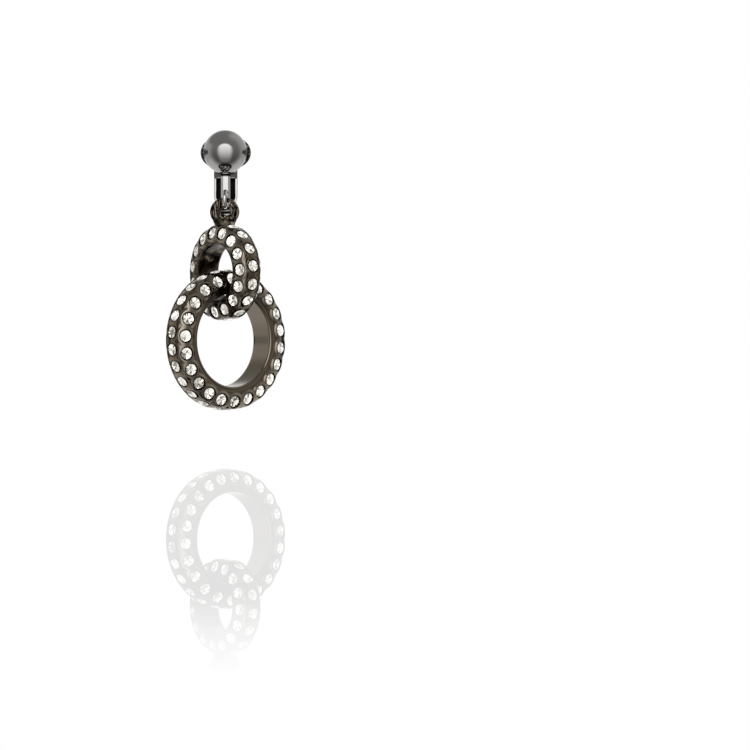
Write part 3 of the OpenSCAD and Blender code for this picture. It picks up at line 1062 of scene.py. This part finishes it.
# Of each metal's colours, the third is a painted highlight and the fourth a painted shade, laid only
# where a mesh marks them
ball_metal = plated_metal(
    "ball_gunmetal",
    cool=(0.31, 0.305, 0.30),
    warm=(0.31, 0.30, 0.29),
    painted_highlight=(0.31, 0.30, 0.29),
    deep=(0, 0, 0),
    gloss=(0.03, 0.07),
    grain=0.0004,
)
clip_metal = plated_metal(
    "clip_black_nickel",
    cool=(0.50, 0.49, 0.485),
    warm=(0.47, 0.46, 0.445),
    painted_highlight=(0.5, 0.49, 0.48),
    deep=(0.004, 0.004, 0.004),
    gloss=(0.05, 0.12),
    grain=0.001,
)
paddle_metal = plated_metal(
    "paddle_black_nickel",
    cool=(0.52, 0.515, 0.51),
    warm=(0.44, 0.42, 0.39),
    painted_highlight=(0.4, 0.39, 0.38),
    deep=(0.003, 0.003, 0.003),
    gloss=(0.05, 0.14),
    grain=0.001,
)
ring_metal = plated_metal(
    "warm_gunmetal_casting",
    cool=(0.136, 0.112, 0.087),
    warm=(0.15, 0.118, 0.077),
    painted_highlight=(0.238, 0.207, 0.167),
    deep=(0.004, 0.003, 0.003),
    gloss=(0.06, 0.15),
    grain=0.002,
)
glass = crystal_glass()
foil = crystal_foil()

ball = polished_ball(ball_metal)
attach(ball, "front")
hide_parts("ball")

strap = soft_copy("strap_and_loop", "front_strap", voxel=0.05, rounds=4, material=clip_metal)
finish_strap(strap)
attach(strap, "front")
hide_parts("front_strap")

paddle = soft_copy("paddle_sheet", "paddle", voxel=0.07, rounds=3, material=paddle_metal)
age_paddle(paddle)
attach(paddle, "paddle")
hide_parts("paddle")

pin = soft_copy("rivet_pin", "hinge_pin", voxel=0.04, rounds=3, material=clip_metal)
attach(pin, "paddle")
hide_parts("hinge_pin")

half_room = (FOOT_WIDTH + SEAT_WIDTH) / 2
foot_angle = math.degrees(math.asin(half_room / (UPPER["radius"] + COLLAR)))
upper_to_ring = ring_frame(upper_centre, UPPER["turn"]).inverted()
upper, upper_places, upper_world = cast_ring(
    "small_ring_cast", UPPER, upper_centre, bail_parts(upper_to_ring), foot_angle, [ring_metal]
)
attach(upper, "upper_link")
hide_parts("upper_ring")

upper_gems = set_stones("small_ring_stones", upper_places, upper_world, UPPER["seed"], [glass, foil])
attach(upper_gems, "upper_link")
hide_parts("upper_stones")

lower, lower_places, lower_world = cast_ring(
    "large_ring_cast", LOWER, lower_centre, [], 0, [ring_metal]
)
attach(lower, "lower_hoop")
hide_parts("lower_ring")

lower_gems = set_stones("large_ring_stones", lower_places, lower_world, LOWER["seed"], [glass, foil])
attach(lower_gems, "lower_hoop")
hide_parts("lower_stones")


# Studio

# The room's light. Each pair says between which two places a change runs: across and
# up on a plane one unit in front of the earring, or along one axis. FALLING turns
# what rises there into what falls.
FALLING = (1.0, 0.0)
IN_FRONT = 0.001
WINDOW_SIDE = (0.36, 1.1)
WINDOW_TOP = (0.78, 1.06)
WINDOW_ROUND = 0.45  # how far its top drops towards the sides
WINDOW_FOOT = (-1.75, -1.2)
WINDOW_RISE = (-1.1, 0.95)
WINDOW_LIGHT = (0.45, 2.6)
FRONT_START = (-0.25, 0.5)
FRONT_LEAN = 0.14  # how much further round it begins on the right
FRONT_RISE = (-0.7, 0.5)
FRONT_LIGHT = (0.2, 0.4)
CEILING_START = (0.36, 0.6)
CEILING_SIDE = (0.05, 0.45)
CEILING_LIGHT = 0.4
HORIZON_HEIGHT = (0.04, 0.17)
HORIZON_START = (-0.3, -0.12)
HORIZON_SIDE = (0.12, 0.2)
HORIZON_LIGHT = 0.12
PATCH_TOP = (-0.92, -0.88)
PATCH_FOOT = (-1.0, -0.985)
PATCH_SIDE = (0.44, 0.6)
PATCH_LIGHT = 0.03
BACK_START = (-0.9, -0.7)
BACK_LIGHT = 1.0
SIDE_LIGHT = 0.8
LOW_START = (-0.6, -0.25)
LOW_LIGHT = 1.1


def studio_world():
    """A white room, dark towards the front, with one soft window and some dark patches."""
    world = bpy.data.worlds.new("studio")
    bpy.context.scene.world = world
    world.use_nodes = True
    tree = world.node_tree
    tree.nodes.clear()
    links = tree.links

    def math_node(operation, *values):
        node = add(tree, "ShaderNodeMath", operation=operation)
        for number, value in enumerate(values):
            if isinstance(value, (int, float)):
                node.inputs[number].default_value = value
            else:
                links.new(value, node.inputs[number])
        return node.outputs[0]

    def times(first, *others):
        for other in others:
            first = math_node("MULTIPLY", first, other)
        return first

    def step(value, ends, tones=(0.0, 1.0)):
        node = add(tree, "ShaderNodeMapRange", interpolation_type="SMOOTHSTEP")
        links.new(value, node.inputs["Value"])
        node.inputs["From Min"].default_value = ends[0]
        node.inputs["From Max"].default_value = ends[1]
        node.inputs["To Min"].default_value = tones[0]
        node.inputs["To Max"].default_value = tones[1]
        return node.outputs["Result"]

    coord = add(tree, "ShaderNodeTexCoord")
    split = add(tree, "ShaderNodeSeparateXYZ")
    links.new(coord.outputs["Generated"], split.inputs[0])
    right, height = split.outputs["X"], split.outputs["Z"]
    aside = math_node("ABSOLUTE", right)
    front = times(split.outputs["Y"], -1.0)
    ahead = math_node("MAXIMUM", front, IN_FRONT)
    across = math_node("ABSOLUTE", math_node("DIVIDE", right, ahead))
    up = math_node("DIVIDE", height, ahead)
    rounded_up = math_node("ADD", up, times(across, across, WINDOW_ROUND))
    window = times(
        step(across, WINDOW_SIDE, FALLING),
        step(rounded_up, WINDOW_TOP, FALLING),
        step(up, WINDOW_FOOT),
    )
    window_light = step(up, WINDOW_RISE, WINDOW_LIGHT)
    lean = times(math_node("MAXIMUM", right, 0.0), FRONT_LEAN)
    dark_front = step(math_node("ADD", front, lean), FRONT_START)
    front_light = step(height, FRONT_RISE, FRONT_LIGHT)
    dark_ceiling = times(step(height, CEILING_START), step(right, CEILING_SIDE, FALLING))
    horizon = times(
        step(math_node("ABSOLUTE", height), HORIZON_HEIGHT, FALLING),
        step(front, HORIZON_START, FALLING),
        step(aside, HORIZON_SIDE),
    )
    patch_below = times(
        step(height, PATCH_TOP, FALLING),
        step(height, PATCH_FOOT),
        step(aside, PATCH_SIDE, FALLING),
    )

    def blend(factor, low, high):
        node = add(tree, "ShaderNodeMix", data_type="FLOAT")
        for label, value in (("Factor", factor), ("A", low), ("B", high)):
            if isinstance(value, (int, float)):
                node.inputs[label].default_value = value
            else:
                links.new(value, node.inputs[label])
        return node.outputs["Result"]

    lit = blend(step(front, BACK_START, FALLING), SIDE_LIGHT, BACK_LIGHT)
    lit = blend(step(height, LOW_START, FALLING), lit, LOW_LIGHT)
    lit = blend(dark_ceiling, lit, CEILING_LIGHT)
    lit = blend(horizon, lit, HORIZON_LIGHT)
    lit = blend(dark_front, lit, front_light)
    lit = blend(patch_below, lit, PATCH_LIGHT)
    lit = blend(window, lit, window_light)
    path = add(tree, "ShaderNodeLightPath")
    seen = add(tree, "ShaderNodeMix", data_type="FLOAT")
    links.new(path.outputs["Is Camera Ray"], seen.inputs["Factor"])
    links.new(lit, seen.inputs["A"])
    seen.inputs["B"].default_value = 1.0
    background = add(tree, "ShaderNodeBackground")
    background.inputs["Color"].default_value = (1, 1, 1, 1)
    links.new(seen.outputs["Result"], background.inputs["Strength"])
    out = add(tree, "ShaderNodeOutputWorld")
    links.new(background.outputs["Background"], out.inputs["Surface"])


FLOOR_DROP = 52.6
FLOOR_SIZE = 4000
# Where on the table, from front to back, its mirror image has faded out and is whole
MIRROR_ENDS = -1180
MIRROR_STARTS = -1060
MIRROR_STRENGTH = 0.25


def studio_floor():
    """A pale glossy table that mirrors the earring faintly."""
    mesh = bpy.data.meshes.new("table_top")
    half = FLOOR_SIZE / 2 * MM
    level = -FLOOR_DROP * MM
    corners = [(-half, -half, level), (half, -half, level), (half, half, level), (-half, half, level)]
    mesh.from_pydata(corners, [], [(0, 1, 2, 3)])
    material = bpy.data.materials.new("pale_gloss")
    material.use_nodes = True
    tree = material.node_tree
    tree.nodes.clear()
    pale = add(tree, "ShaderNodeEmission")
    pale.inputs["Color"].default_value = (1, 1, 1, 1)
    gloss = add(tree, "ShaderNodeBsdfGlossy")
    gloss.inputs["Color"].default_value = (1, 1, 1, 1)
    gloss.inputs["Roughness"].default_value = 0.0
    place_on_table = add(tree, "ShaderNodeTexCoord")
    split = add(tree, "ShaderNodeSeparateXYZ")
    tree.links.new(place_on_table.outputs["Object"], split.inputs[0])
    fade = add(tree, "ShaderNodeMapRange")
    fade.inputs["From Min"].default_value = MIRROR_ENDS * MM
    fade.inputs["From Max"].default_value = MIRROR_STARTS * MM
    fade.inputs["To Min"].default_value = 0.0
    fade.inputs["To Max"].default_value = MIRROR_STRENGTH
    tree.links.new(split.outputs["Y"], fade.inputs["Value"])
    mix = add(tree, "ShaderNodeMixShader")
    tree.links.new(fade.outputs["Result"], mix.inputs[0])
    tree.links.new(pale.outputs[0], mix.inputs[1])
    tree.links.new(gloss.outputs[0], mix.inputs[2])
    out = add(tree, "ShaderNodeOutputMaterial")
    tree.links.new(mix.outputs[0], out.inputs["Surface"])
    floor = finish_object("table_top", mesh, [material])
    floor.visible_glossy = False
    floor.visible_transmission = False


# The photograph's view, in millimetres: where the camera is and how wide it sees
CAMERA_PLACE = (27.4, -1500.0, -40.8)
VIEW_WIDTH = 137.6
SENSOR_WIDTH = 36.0
# The nearest and the farthest that it sees, in metres
SEEN_FROM = 0.01
SEEN_TO = 20.0


def camera():
    data = bpy.data.cameras.new("camera")
    data.sensor_width = SENSOR_WIDTH
    data.lens = SENSOR_WIDTH * -CAMERA_PLACE[1] / VIEW_WIDTH
    data.clip_start = SEEN_FROM
    data.clip_end = SEEN_TO
    obj = bpy.data.objects.new("camera", data)
    obj.location = Vector(CAMERA_PLACE) * MM
    obj.rotation_euler = (math.pi / 2, 0, 0)
    bpy.context.scene.collection.objects.link(obj)
    bpy.context.scene.camera = obj


studio_world()
studio_floor()
camera()
bpy.context.scene.view_settings.view_transform = "Standard"
